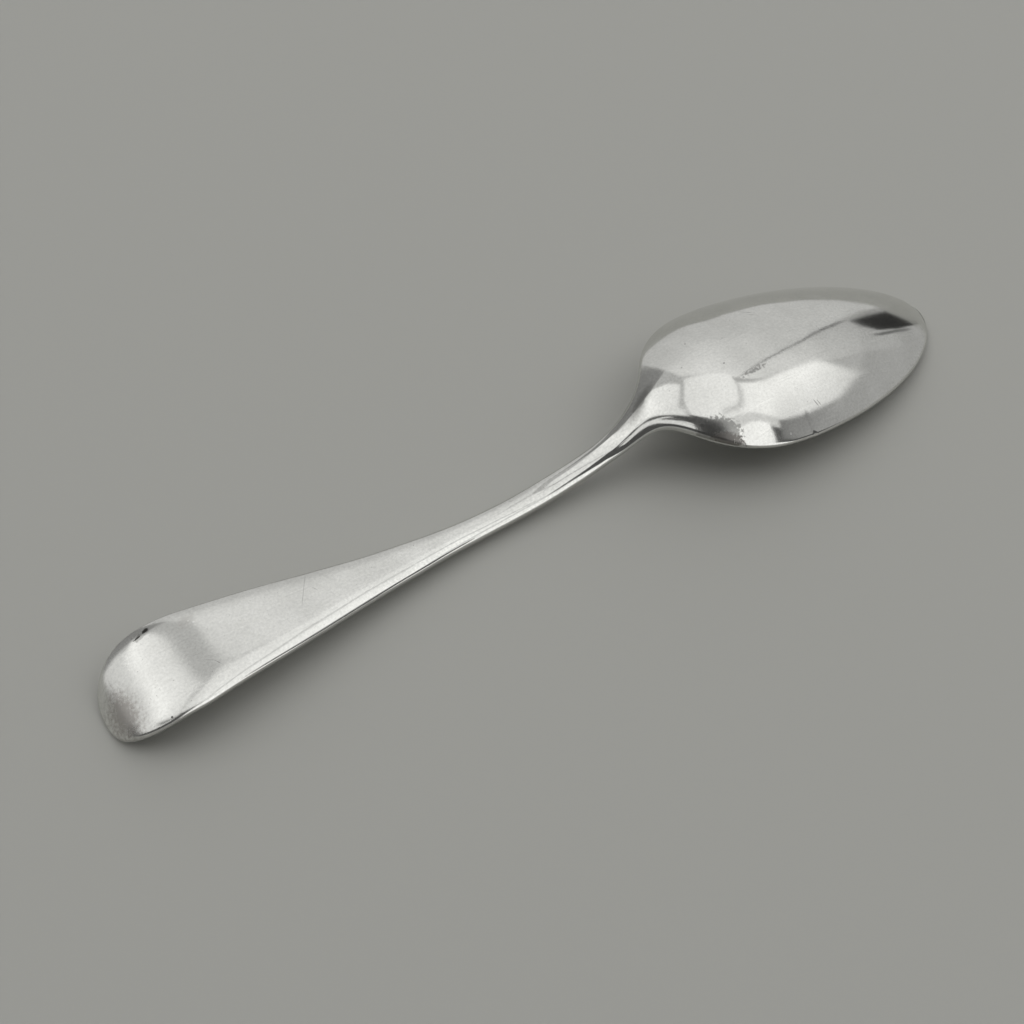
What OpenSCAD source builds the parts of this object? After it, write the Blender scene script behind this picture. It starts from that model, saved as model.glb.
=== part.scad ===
// Teaspoon lying face down, with the hollow of its bowl towards the table and its back up.
// The real spoon is one forging. It is drawn as the five lengths that a spoonmaker names,
// which meet face to face at upright cuts across the spoon.
// X runs from the tip of the handle to the tip of the bowl, Y is zero along the middle,
// and Z is zero on the table.

/* [Handle end] */
// Length of the turned-down end, from the tip to its crease
end_l = 12; // [9:0.5:18]
// Greatest width of the handle, at the crease
end_w = 14.8; // [10:0.1:22]
// Length of the rounding of the tip, seen from above
round_l = 9; // [6:0.5:9]
// Thickness along the middle at the tip
tip_t = 1.25; // [1:0.05:2]
// Thickness along the middle at the crease
end_t = 1.4; // [1.2:0.05:2.4]
// Height of the underside above the table at the crease
crease_h = 5.2; // [3:0.1:8]

/* [Handle] */
// Length of the tapering handle, from the crease to the stem
handle_l = 48; // [36:1:70]
// Height of the flat side wall along the edges of the handle
edge_t = 0.75; // [0.6:0.05:1]

/* [Stem] */
// Length of the slender stem
stem_l = 16; // [8:1:30]
// Width of the stem
stem_w = 3.6; // [2.2:0.1:5]
// Thickness along the middle where the handle meets the stem
stem_t = 1.5; // [1.3:0.05:2.6]
// Height of the underside above the table where the handle ends
stem_h = 1.45; // [1:0.05:2.8]

/* [Neck] */
// Length of the neck, which rises from the stem to the bowl
neck_l = 10; // [7:0.5:16]
// Thickness along the middle where the stem meets the neck
neck_t = 1.65; // [1.55:0.05:2.8]
// Height of the flat side wall where the neck meets the bowl
neck_edge = 1.1; // [0.8:0.05:1.5]

/* [Bowl] */
// Length of the bowl, from the neck to its tip, seen from above
bowl_l = 49; // [38:1:64]
// Greatest width of the bowl
bowl_w = 28.4; // [22:0.2:38]
// Distance from the neck to the widest place of the bowl
shoulder_l = 16.5; // [12:0.5:20]
// Depth of the hollow under the plane of the rim
hollow_depth = 5.4; // [4:0.1:9]
// Thickness of the bowl's wall at its deepest place
wall = 1; // [0.7:0.05:1.6]
// Angle between the plane of the rim and the table
rim_tilt = 9.75; // [6:0.25:13]
// Height of the rim's outer edge
rim_edge = 0.5; // [0.3:0.05:0.6]
// Width of the flat face of the rim along the sides
rim_w = 0.9; // [0.6:0.05:1.6]
// Width of the flat face of the rim at the tip
tip_land = 1.1; // [0.8:0.05:2]
// Width of the flat face between the neck and the hollow
heel_land = 1.5; // [0.8:0.1:3]

/* [Hidden] */
silver = [0.80, 0.80, 0.77];

// Places of the cuts, from the tip of the handle
handle_x = end_l;
stem_x = handle_x + handle_l;
neck_x = stem_x + stem_l;
bowl_x = neck_x + neck_l;
total_l = bowl_x + bowl_l;
wide_x = bowl_x + shoulder_l;
rise_l = stem_l + neck_l;
flare_l = neck_l + shoulder_l;

// Depth at which both tips stop, so that each ends in a small flat and not in a knife point
tip_flat = 0.05;

// The hollow, inside the flat face of the rim
hollow_x = bowl_x + heel_land;
hollow_end = total_l - tip_land;
hollow_l = hollow_end - hollow_x;
hollow_half_w = bowl_w / 2 - rim_w;
hollow_corner_share = 0.07;
dome_h = hollow_depth + wall;

// Powers of the rounded outlines: 2 is an ellipse, and more is squarer
round_power = 2.4;
heel_power = 2.4;
// Power of the bowl's pointed tip: one half is an ellipse, and more is more pointed
tip_power = 0.54;

// Roundness of the back across the spoon: 2 is a parabola, and more is flatter with rounder edges
tip_back_power = 5;
end_back_power = 7;
bowl_back_power = 2.5;
// Place between the tip and the crease where the end has its own roundness
end_power_share = 0.5;
// Along the handle, the stem, the neck and the shoulders: share of the length, roundness
handle_power_shares = [[0, 8], [0.25, 5.8], [0.5, 4.2], [0.7, 3.3], [1, 2.8]];
stem_power_shares = [[0.375, 2.6], [0.75, 2.6]];
neck_power_shares = [[0.1, 2.8], [0.6, 2.39]];
shoulder_power_shares = [[0.06, 2.22], [0.36, 2.14], [0.67, 2.7]];

// Height of the side wall along the stem: share of its length, share of the way to the neck's
stem_edge_shares = [[0, 0], [0.5, 0.486], [1, 0.286]];
// Height of the side wall along the neck: share of its length, share of the neck's own height
neck_edge_shares = [[0.5, 0.64], [0.75, 0.73]];
// Height of the side wall along the bowl: share of its length, share of the way from the rim's
// outer edge to the neck's side wall
bowl_edge_shares = [[0.04, 1], [0.122, 0.53], [0.225, 0.067], [0.34, 0], [1, 0]];

// Thickness along the stem: share of its length, share of the way to the neck's
stem_ridge_shares = [[0.375, 0.4], [0.69, 0.95], [1, 1]];
// Thickness along the neck: share of its length, share of the neck's own thickness
neck_ridge_shares = [[0.4, 0.97], [0.75, 1.13]];

// Outline of the handle: share of its length, share of the way from the stem's width to the end's
handle_width_shares = [
    [0, 1], [0.0625, 0.922], [0.167, 0.798], [0.27, 0.675], [0.375, 0.534], [0.48, 0.392],
    [0.583, 0.264], [0.69, 0.161], [0.79, 0.072], [0.896, 0.017], [1, 0]
];
// Outline of the neck and the shoulders: share of the length, share of the way to the bowl's width
flare_width_shares = [
    [0, 0], [0.1, 0.023], [0.17, 0.044], [0.24, 0.087], [0.275, 0.121], [0.31, 0.173],
    [0.345, 0.246], [0.38, 0.336], [0.42, 0.447], [0.46, 0.549], [0.5, 0.636], [0.54, 0.707],
    [0.61, 0.809], [0.72, 0.915], [0.84, 0.976], [1, 1]
];
// Underside of the turned-down end: share of its length, share of the crease's height
end_rise_shares = [
    [0, 0], [0.083, 0.21], [0.167, 0.42], [0.333, 0.67], [0.5, 0.85], [0.667, 0.952], [0.833, 0.997], [1, 1]
];
// Underside of the handle: share of its length, share of the way down from the stem's height
handle_fall_shares = [
    [0, 1], [0.0625, 0.973], [0.167, 0.87], [0.27, 0.739], [0.375, 0.578], [0.48, 0.431],
    [0.583, 0.293], [0.69, 0.182], [0.79, 0.095], [0.9, 0.018], [1, 0]
];
// Underside of the stem and the neck: share of their length, share of the way to the rim's plane
neck_rise_shares = [
    [0, 0], [0.19, 0.026], [0.385, 0.103], [0.58, 0.248], [0.69, 0.395], [0.77, 0.576],
    [0.846, 0.794], [0.885, 0.9], [0.925, 0.98], [0.96, 1], [1, 1]
];
// Height of the bowl's back along the middle: share of the bowl's length, share of the dome's height
dome_shares = [
    [0, 0.452], [0.04, 0.59], [0.08, 0.699], [0.12, 0.787], [0.18, 0.886], [0.28, 0.957], [0.39, 0.995],
    [0.47, 1], [0.6, 0.92], [0.7, 0.79], [0.8, 0.6], [0.9, 0.355], [0.96, 0.18]
];
// Depth of the hollow along the middle: share of the hollow's length, share of its depth
hollow_shares = [
    [0, 0], [0.04, 0.4], [0.09, 0.63], [0.15, 0.79], [0.26, 0.93], [0.39, 1], [0.5, 0.99],
    [0.6, 0.93], [0.7, 0.79], [0.8, 0.59], [0.9, 0.31], [1, 0]
];

// Counts of steps in the surfaces
back_steps = 16;
end_steps = 14;
handle_steps = 24;
stem_steps = 10;
neck_steps = 14;
side_steps = 30;
dome_rings = 12;

// Rows of a table of shares, spread over a length and between two values
function spread(start, span, low, high, shares) =
    [for (p = shares) [start + span * p[0], low + (high - low) * p[1]]];

// All rows but the first
function tail(t) = [for (i = [1:len(t) - 1]) t[i]];

// Slope of the smooth curve at each row of a table, which never overshoots the rows
function slopes(t) =
    [for (i = [0:len(t) - 1])
        let (
            j = max(i, 1),
            k = min(i, len(t) - 2),
            span_in = t[j][0] - t[j - 1][0],
            span_out = t[k + 1][0] - t[k][0],
            rate_in = (t[j][1] - t[j - 1][1]) / span_in,
            rate_out = (t[k + 1][1] - t[k][1]) / span_out
        )
        rate_in * rate_out <= 0
            ? 0
            : (span_in + span_out) / (span_in / rate_out + span_out / rate_in)];

// A table with its slopes, ready to read
function curve(t) = [t, slopes(t)];

// The row that starts the step holding q
function row(t, q, i) = i >= len(t) - 2 || q < t[i + 1][0] ? i : row(t, q, i + 1);

// The value of a curve at s
function at(c, s) =
    let (
        t = c[0],
        q = max(t[0][0], min(s, t[len(t) - 1][0])),
        i = row(t, q, 0),
        h = t[i + 1][0] - t[i][0],
        u = (q - t[i][0]) / h
    )
    (2 * u^3 - 3 * u^2 + 1) * t[i][1] + (u^3 - 2 * u^2 + u) * h * c[1][i]
        + (3 * u^2 - 2 * u^3) * t[i + 1][1] + (u^3 - u^2) * h * c[1][i + 1];

handle_width = curve(spread(handle_x, handle_l, stem_w, end_w, handle_width_shares));
flare_width = curve(spread(neck_x, flare_l, stem_w, bowl_w, flare_width_shares));
handle_under = curve(concat(
    spread(0, end_l, 0, crease_h, end_rise_shares),
    tail(spread(handle_x, handle_l, stem_h, crease_h, handle_fall_shares))
));
neck_under = curve(spread(stem_x, rise_l, 0, 1, neck_rise_shares));

// Height of the side wall along the edges
edge_height = curve(concat(
    [[0, edge_t]],
    spread(stem_x, stem_l, edge_t, neck_edge, stem_edge_shares),
    spread(neck_x, neck_l, 0, neck_edge, neck_edge_shares),
    spread(bowl_x, bowl_l, rim_edge, neck_edge, bowl_edge_shares)
));

// Thickness along the middle, from the underside or the rim's plane to the back
ridge_height = curve(concat(
    [[0, tip_t], [handle_x, end_t], [stem_x, stem_t]],
    spread(stem_x, stem_l, stem_t, neck_t, stem_ridge_shares),
    spread(neck_x, neck_l, 0, neck_t, neck_ridge_shares),
    spread(bowl_x, bowl_l, 0, dome_h, dome_shares),
    [[total_l, rim_edge]]
));

// Roundness of the back at s
back_power = curve(concat(
    [[0, tip_back_power], [end_l * end_power_share, end_back_power]],
    spread(handle_x, handle_l, 0, 1, handle_power_shares),
    spread(stem_x, stem_l, 0, 1, stem_power_shares),
    spread(neck_x, neck_l, 0, 1, neck_power_shares),
    spread(bowl_x, shoulder_l, 0, 1, shoulder_power_shares),
    [[wide_x, bowl_back_power], [total_l, bowl_back_power]]
));

hollow_height = curve(spread(hollow_x, hollow_l, 0, hollow_depth, hollow_shares));

// Half of the width at s: the rounded tip, the handle, the flare of the neck, or the bowl's tip
function round_width(s) =
    end_w * (1 - max(0, 1 - max(s, tip_flat) / round_l)^round_power)^(1 / round_power);
function tip_width(s) =
    let (u = (min(s, total_l - tip_flat) - wide_x) / (total_l - wide_x))
    bowl_w * (1 - u^2)^tip_power;
function half_width(s) =
    (s < handle_x ? round_width(s)
        : s < neck_x ? at(handle_width, s)
        : s < wide_x ? at(flare_width, s)
        : tip_width(s)) / 2;

// Height of the rim's plane, and of the underside, at s
function rim_plane(s) = (total_l - s) * tan(rim_tilt);
function underside(s) =
    s < stem_x ? at(handle_under, s)
        : s < bowl_x ? stem_h + (rim_plane(s) - stem_h) * at(neck_under, s)
        : rim_plane(s);

// Height of the back at s and y
function back(s, y) =
    let (
        edge = at(edge_height, s),
        t = min(1, abs(y) / half_width(s))
    )
    underside(s) + edge + (at(ridge_height, s) - edge) * (1 - t^at(back_power, s));

// Half of the width of the hollow at s, the place of its heel at y, and its ceiling at s and y
function hollow_half(s) =
    s < wide_x
        ? hollow_half_w * sqrt(max(0, 1 - ((wide_x - s) / (wide_x - hollow_x))^heel_power))
        : let (u = (min(s, hollow_end - tip_flat) - wide_x) / (hollow_end - wide_x))
            hollow_half_w * (1 - u^2)^tip_power;
function hollow_heel(y) =
    wide_x - (wide_x - hollow_x) * (1 - (y / hollow_half_w)^2)^(1 / heel_power);
function ceiling(s, y) =
    let (t = min(1, abs(y) / max(hollow_half(s), tip_flat)))
    rim_plane(s) + at(hollow_height, s) * (1 - t^at(back_power, s));

// A number from -1 to 1 in even turns of a half circle, and one from 0 to 1
function swing(i, n) = sin(180 * i / n - 90);
function ease(i, n) = (1 - cos(180 * i / n)) / 2;

// Cross-section of the handle, the stem or the neck: the back, then the two lower edges
function section(s) =
    let (a = half_width(s))
    concat(
        [for (j = [0:back_steps]) [s, a * swing(j, back_steps), back(s, a * swing(j, back_steps))]],
        [[s, a, underside(s)], [s, -a, underside(s)]]
    );

// Solid through the cross-sections at a list of places
module bar(places) {
    n = back_steps + 3;
    last = (len(places) - 1) * n;
    points = [for (s = places) each section(s)];
    sides = [
        for (i = [0:len(places) - 2], k = [0:n - 1])
            let (a = i * n + k, b = i * n + (k + 1) % n)
            each [[a, b, b + n], [a, b + n, a + n]]
    ];
    start = [for (k = [n - 1:-1:0]) k];
    end = [for (k = [0:n - 1]) last + k];
    translate([-total_l / 2, 0, 0]) polyhedron(points, concat(sides, [start, end]));
}

// Places from one cut to the next, evenly spaced
function stretch(start, span, n) = [for (i = [0:n]) start + span * i / n];

module handle_end() {
    // The places crowd towards the tip, where the outline turns fastest
    color(silver)
    bar([for (i = [0:end_steps]) end_l * (1 - cos(90 * i / end_steps))]);
}

module handle() {
    color(silver)
    bar(stretch(handle_x, handle_l, handle_steps));
}

module stem() {
    color(silver)
    bar(stretch(stem_x, stem_l, stem_steps));
}

module neck() {
    color(silver)
    bar(stretch(neck_x, neck_l, neck_steps));
}

// Outline of the bowl seen from above: one side, the other side, and the cut to the neck
bowl_outline = concat(
    [for (i = [0:side_steps])
        let (s = bowl_x + bowl_l * ease(i, side_steps)) [s, half_width(s)]],
    [for (i = [side_steps:-1:0])
        let (s = bowl_x + bowl_l * ease(i, side_steps)) [s, -half_width(s)]],
    [for (j = [1:back_steps - 1]) [bowl_x, half_width(bowl_x) * swing(j, back_steps)]]
);

// Outline of the hollow, point by point beside the outline of the bowl
hollow_corner = hollow_x + hollow_l * hollow_corner_share;
hollow_outline = concat(
    [for (i = [0:side_steps])
        let (s = hollow_corner + (hollow_end - hollow_corner) * ease(i, side_steps)) [s, hollow_half(s)]],
    [for (i = [side_steps:-1:0])
        let (s = hollow_corner + (hollow_end - hollow_corner) * ease(i, side_steps)) [s, -hollow_half(s)]],
    [for (j = [1:back_steps - 1])
        let (y = hollow_half(hollow_corner) * swing(j, back_steps)) [hollow_heel(y), y]]
);

// An outline drawn in towards the middle of the bowl
bowl_middle = [wide_x, 0];
function drawn_in(outline, share) = [for (p = outline) bowl_middle + (p - bowl_middle) * share];

module bowl() {
    n = len(bowl_outline);
    shares = [for (j = [0:dome_rings - 1]) cos(90 * j / dome_rings)];
    land = [for (p = bowl_outline) [p[0], p[1], rim_plane(p[0])]];
    dome = [for (r = shares, p = drawn_in(bowl_outline, r)) [p[0], p[1], back(p[0], p[1])]];
    lip = [for (p = hollow_outline) [p[0], p[1], rim_plane(p[0])]];
    vault = [for (r = tail(shares), p = drawn_in(hollow_outline, r)) [p[0], p[1], ceiling(p[0], p[1])]];
    poles = [
        [wide_x, 0, back(wide_x, 0)],
        [wide_x, 0, ceiling(wide_x, 0)]
    ];
    // First point of each group, and the last ring of the dome and of the hollow
    dome_0 = n;
    lip_0 = dome_0 + n * dome_rings;
    pole_0 = lip_0 + n * dome_rings;
    dome_last = lip_0 - n;
    vault_last = pole_0 - n;
    side_faces = [
        for (k = [0:n - 1])
            let (q = (k + 1) % n)
            each [[dome_0 + k, k, q], [dome_0 + k, q, dome_0 + q]]
    ];
    dome_faces = [
        for (j = [0:dome_rings - 2], k = [0:n - 1])
            let (a = dome_0 + j * n + k, b = dome_0 + j * n + (k + 1) % n)
            each [[a, b, b + n], [a, b + n, a + n]]
    ];
    land_faces = [
        for (k = [0:n - 1])
            let (q = (k + 1) % n)
            each [[k, lip_0 + k, lip_0 + q], [k, lip_0 + q, q]]
    ];
    vault_faces = [
        for (j = [0:dome_rings - 2], k = [0:n - 1])
            let (a = lip_0 + j * n + k, b = lip_0 + j * n + (k + 1) % n)
            each [[a, a + n, b + n], [a, b + n, b]]
    ];
    pole_faces = [
        for (k = [0:n - 1])
            let (q = (k + 1) % n)
            each [
                [dome_last + k, dome_last + q, pole_0],
                [vault_last + k, pole_0 + 1, vault_last + q]
            ]
    ];
    color(silver)
    translate([-total_l / 2, 0, 0])
    polyhedron(
        concat(land, dome, lip, vault, poles),
        concat(side_faces, dome_faces, land_faces, vault_faces, pole_faces)
    );
}

handle_end();
handle();
stem();
neck();
bowl();
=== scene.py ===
"""Dresses the teaspoon's CAD frame: fine surfaces, rounded edges and a worn silver finish."""

import logging
import math
from collections.abc import Callable
from dataclasses import dataclass, field
from enum import Enum
from functools import cached_property, partial, reduce

import bpy
import numpy as np
from mathutils import Matrix, Vector


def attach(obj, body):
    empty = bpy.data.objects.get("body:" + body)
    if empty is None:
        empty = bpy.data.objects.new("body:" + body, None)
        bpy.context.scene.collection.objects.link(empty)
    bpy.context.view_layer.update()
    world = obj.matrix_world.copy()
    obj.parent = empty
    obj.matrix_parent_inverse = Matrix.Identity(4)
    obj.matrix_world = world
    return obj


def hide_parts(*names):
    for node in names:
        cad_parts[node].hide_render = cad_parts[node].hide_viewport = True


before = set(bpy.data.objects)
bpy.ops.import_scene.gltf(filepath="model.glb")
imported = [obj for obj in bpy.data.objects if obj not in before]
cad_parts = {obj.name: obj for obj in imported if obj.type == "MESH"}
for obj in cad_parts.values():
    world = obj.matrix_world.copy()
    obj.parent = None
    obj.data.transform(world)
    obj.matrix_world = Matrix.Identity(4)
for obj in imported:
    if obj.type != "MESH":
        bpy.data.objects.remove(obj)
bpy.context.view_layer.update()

LOG = logging.getLogger("teaspoon")
MM = 0.001
BODY = "root"
TINY = 1e-7

Pair = tuple[float, float]
Triple = tuple[float, float, float]
Rows = list[Pair]
Table = list[dict[str, float]]
Socket = bpy.types.NodeSocket
Reader = Callable[[str], Socket]


def spread(start: float, span: float, low: float, high: float, shares: Rows) -> Rows:
    """Spreads rows of place share and value share over a length and between two values."""
    return [(start + span * place, low + (high - low) * share) for place, share in shares]


class SmoothTable:
    """A smooth curve through a table of places and values, which never overshoots its rows."""

    def __init__(self, rows: Rows) -> None:
        """Works out the slope at each row, from rows of place and value in order of place."""
        table = np.array(rows, float)
        self.places, self.values = table[:, 0], table[:, 1]
        span = np.diff(self.places)
        rate = np.diff(self.values) / span
        self.slopes = np.empty(len(rows))
        self.slopes[0], self.slopes[-1] = rate[0], rate[-1]
        for i in range(1, len(rows) - 1):
            turns = rate[i - 1] * rate[i] <= 0
            mixed = 0.0 if turns else span[i - 1] / rate[i] + span[i] / rate[i - 1]
            self.slopes[i] = 0.0 if turns else (span[i - 1] + span[i]) / mixed

    def at(self, s: np.ndarray) -> np.ndarray:
        """Reads the curve at places along the spoon."""
        q = np.clip(s, self.places[0], self.places[-1])
        i = np.clip(np.searchsorted(self.places, q, side="right") - 1, 0, len(self.places) - 2)
        h = self.places[i + 1] - self.places[i]
        u = (q - self.places[i]) / h
        return (
            (2 * u**3 - 3 * u**2 + 1) * self.values[i]
            + (u**3 - 2 * u**2 + u) * h * self.slopes[i]
            + (3 * u**2 - 2 * u**3) * self.values[i + 1]
            + (u**3 - u**2) * h * self.slopes[i + 1]
        )


class SoftCurve:
    """A curve along the spoon whose small kinks are blurred away, so that reflections run smoothly.

    The width of the blur and the distance between samples are in millimetres.
    """

    width = 1.0
    step = 0.02
    reach_widths = 4

    def __init__(
        self, curve: Callable[[np.ndarray], np.ndarray], start: float, end: float, level_ends: bool = False,
    ) -> None:
        """Samples and blurs a curve that is level at both ends, or else keeps its end values."""
        self.places = np.linspace(start, end, round((end - start) / self.step) + 1)
        sharp = curve(self.places)
        reach = round(self.reach_widths * self.width / self.step)
        kernel = np.exp(-0.5 * (np.arange(-reach, reach + 1) * self.step / self.width) ** 2)
        before, after = sharp[reach:0:-1], sharp[-2:-reach - 2:-1]
        if not level_ends:
            before, after = 2 * sharp[0] - before, 2 * sharp[-1] - after
        padded = np.concatenate([before, sharp, after])
        self.values = np.convolve(padded, kernel / kernel.sum(), "valid")

    def at(self, s: np.ndarray) -> np.ndarray:
        """Reads the curve at places along the spoon."""
        return np.interp(s, self.places, self.values)


@dataclass
class SpoonShape:
    """The spoon's sizes in millimetres, and its surfaces as heights over places along and across it."""

    end_l: float = 12
    end_w: float = 14.8
    round_l: float = 9
    tip_t: float = 1.25
    end_t: float = 1.4
    crease_h: float = 5.2
    handle_l: float = 48
    edge_t: float = 0.75
    stem_l: float = 16
    stem_w: float = 3.6
    stem_t: float = 1.5
    stem_h: float = 1.45
    neck_l: float = 10
    neck_t: float = 1.65
    neck_edge: float = 1.1
    bowl_l: float = 49
    bowl_w: float = 28.4
    shoulder_l: float = 16.5
    hollow_depth: float = 5.4
    wall: float = 1
    rim_tilt: float = 9.75
    rim_edge: float = 0.5
    rim_w: float = 0.9
    tip_land: float = 1.1
    heel_land: float = 1.5
    round_power: float = 2.4
    heel_power: float = 2.4
    tip_power: float = 0.54
    tip_fall_power: float = 3
    tip_back_power: float = 5
    end_back_power: float = 7
    bowl_back_power: float = 2.5

    def __post_init__(self) -> None:
        """Works out the places of the cuts, of the greatest width and of the hollow's two ends."""
        self.handle_x = self.end_l
        self.stem_x = self.handle_x + self.handle_l
        self.neck_x = self.stem_x + self.stem_l
        self.bowl_x = self.neck_x + self.neck_l
        self.total_l = self.bowl_x + self.bowl_l
        self.wide_x = self.bowl_x + self.shoulder_l
        self.hollow_x = self.bowl_x + self.heel_land
        self.hollow_end = self.total_l - self.tip_land

    def sharp_half_width(self, s: np.ndarray) -> np.ndarray:
        """Half of the spoon's width at s, zero at both tips, with small kinks between its lengths."""
        handle = SmoothTable(spread(self.handle_x, self.handle_l, self.stem_w, self.end_w, [
            (0, 1), (0.0625, 0.922), (0.167, 0.798), (0.27, 0.675), (0.375, 0.534), (0.48, 0.392),
            (0.583, 0.264), (0.69, 0.161), (0.79, 0.072), (0.896, 0.017), (1, 0),
        ]))
        flare_l = self.neck_l + self.shoulder_l
        flare = SmoothTable(spread(self.neck_x, flare_l, self.stem_w, self.bowl_w, [
            (0, 0), (0.1, 0.023), (0.17, 0.044), (0.24, 0.087), (0.275, 0.121), (0.31, 0.173),
            (0.345, 0.246), (0.38, 0.336), (0.42, 0.447), (0.46, 0.549), (0.5, 0.636), (0.54, 0.707),
            (0.61, 0.809), (0.72, 0.915), (0.84, 0.976), (1, 1),
        ]))
        away = np.clip(1 - s / self.round_l, 0, 1)
        end = self.end_w * (1 - away**self.round_power) ** (1 / self.round_power)
        u = np.clip((s - self.wide_x) / (self.total_l - self.wide_x), 0, 1)
        tip = self.bowl_w * (1 - u**2) ** self.tip_power
        parts = [s < self.handle_x, s < self.neck_x, s < self.wide_x]
        return np.select(parts, [end, handle.at(s), flare.at(s)], tip) / 2

    @cached_property
    def soft_half_width(self) -> SoftCurve:
        """The half width from the round of the end to the bowl's widest place."""
        return SoftCurve(self.sharp_half_width, self.round_l, self.wide_x, level_ends=True)

    def half_width(self, s: np.ndarray) -> np.ndarray:
        """Half of the spoon's width at s, smooth all along."""
        between = (s > self.round_l) & (s < self.wide_x)
        return np.where(between, self.soft_half_width.at(s), self.sharp_half_width(s))

    def sharp_underside(self, s: np.ndarray) -> np.ndarray:
        """Height at s of the underside or the plane of the rim, with small kinks between its lengths."""
        rise = spread(0, self.end_l, 0, self.crease_h, [
            (0, 0), (0.083, 0.21), (0.167, 0.42), (0.333, 0.67), (0.5, 0.85), (0.667, 0.952),
            (0.833, 0.997), (1, 1),
        ])
        fall = spread(self.handle_x, self.handle_l, self.stem_h, self.crease_h, [
            (0, 1), (0.0625, 0.973), (0.167, 0.87), (0.27, 0.739), (0.375, 0.578), (0.48, 0.431),
            (0.583, 0.293), (0.69, 0.182), (0.79, 0.095), (0.9, 0.018), (1, 0),
        ])
        handle = SmoothTable(rise + fall[1:])
        lift = SmoothTable(spread(self.stem_x, self.stem_l + self.neck_l, 0, 1, [
            (0, 0), (0.19, 0.026), (0.385, 0.103), (0.58, 0.248), (0.69, 0.395), (0.77, 0.576),
            (0.846, 0.794), (0.885, 0.9), (0.925, 0.98), (0.96, 1), (1, 1),
        ]))
        plane = (self.total_l - s) * math.tan(math.radians(self.rim_tilt))
        stem = self.stem_h + (plane - self.stem_h) * lift.at(s)
        return np.select([s < self.stem_x, s < self.bowl_x], [handle.at(s), stem], plane)

    @cached_property
    def underside(self) -> SoftCurve:
        """Height of the underside over the table, smooth all along."""
        return SoftCurve(self.sharp_underside, 0, self.total_l)

    @cached_property
    def edge(self) -> SoftCurve:
        """Height of the side wall along the edges."""
        table = SmoothTable([
            (0, self.edge_t),
            *spread(self.stem_x, self.stem_l, self.edge_t, self.neck_edge, [
                (0, 0), (0.5, 0.486), (1, 0.286),
            ]),
            *spread(self.neck_x, self.neck_l, 0, self.neck_edge, [(0.5, 0.64), (0.75, 0.73)]),
            *spread(self.bowl_x, self.bowl_l, self.rim_edge, self.neck_edge, [
                (0.04, 1), (0.122, 0.53), (0.225, 0.067), (0.34, 0), (1, 0),
            ]),
        ])
        return SoftCurve(table.at, 0, self.total_l)

    @cached_property
    def soft_ridge(self) -> SoftCurve:
        """The thickness along the middle."""
        table = SmoothTable([
            (0, self.tip_t), (self.handle_x, self.end_t), (self.stem_x, self.stem_t),
            *spread(self.stem_x, self.stem_l, self.stem_t, self.neck_t, [
                (0.375, 0.4), (0.69, 0.95), (1, 1),
            ]),
            *spread(self.neck_x, self.neck_l, 0, self.neck_t, [(0.4, 0.97), (0.75, 1.13)]),
            *spread(self.bowl_x, self.bowl_l, 0, self.hollow_depth + self.wall, [
                (0, 0.452), (0.04, 0.59), (0.08, 0.699), (0.12, 0.787), (0.18, 0.886),
                (0.28, 0.957), (0.39, 0.995), (0.47, 1), (0.6, 0.92), (0.7, 0.79), (0.8, 0.6),
                (0.9, 0.355), (0.96, 0.18),
            ]),
            (self.total_l, self.rim_edge),
        ])
        return SoftCurve(table.at, 0, self.total_l)

    def ridge_height(self, s: np.ndarray) -> np.ndarray:
        """Thickness along the middle at s, which falls to the side wall's height at both tips."""
        near_tip = 1 - np.clip(1 - s / self.round_l, 0, 1) ** self.tip_fall_power
        edge = self.edge.at(s)
        return edge + (self.soft_ridge.at(s) - edge) * near_tip

    @cached_property
    def roundness(self) -> SoftCurve:
        """Power of the back's curve across the spoon: 2 is a parabola, and more is squarer."""
        table = SmoothTable([
            (0, self.tip_back_power), (self.end_l / 2, self.end_back_power),
            *spread(self.handle_x, self.handle_l, 0, 1, [
                (0, 8), (0.25, 5.8), (0.5, 4.2), (0.7, 3.3), (1, 2.8),
            ]),
            *spread(self.stem_x, self.stem_l, 0, 1, [(0.375, 2.6), (0.75, 2.6)]),
            *spread(self.neck_x, self.neck_l, 0, 1, [(0.1, 2.8), (0.6, 2.39)]),
            *spread(self.bowl_x, self.shoulder_l, 0, 1, [(0.06, 2.22), (0.36, 2.14), (0.67, 2.7)]),
            (self.wide_x, self.bowl_back_power), (self.total_l, self.bowl_back_power),
        ])
        return SoftCurve(table.at, 0, self.total_l)

    def hollow_half(self, s: np.ndarray) -> np.ndarray:
        """Half of the hollow's width at s."""
        widest = self.bowl_w / 2 - self.rim_w
        before = np.clip((self.wide_x - s) / (self.wide_x - self.hollow_x), 0, 1)
        after = np.clip((s - self.wide_x) / (self.hollow_end - self.wide_x), 0, 1)
        heel = np.sqrt(1 - before**self.heel_power)
        tip = (1 - after**2) ** self.tip_power
        return widest * np.where(s < self.wide_x, heel, tip)

    def hollow_height(self, s: np.ndarray) -> np.ndarray:
        """Height of the hollow's ceiling over the plane of the rim at s, along the middle."""
        length = self.hollow_end - self.hollow_x
        return SmoothTable(spread(self.hollow_x, length, 0, self.hollow_depth, [
            (0, 0), (0.04, 0.4), (0.09, 0.63), (0.15, 0.79), (0.26, 0.93), (0.39, 1), (0.5, 0.99),
            (0.6, 0.93), (0.7, 0.79), (0.8, 0.59), (0.9, 0.31), (1, 0),
        ])).at(s)


SHAPE = SpoonShape()


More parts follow.
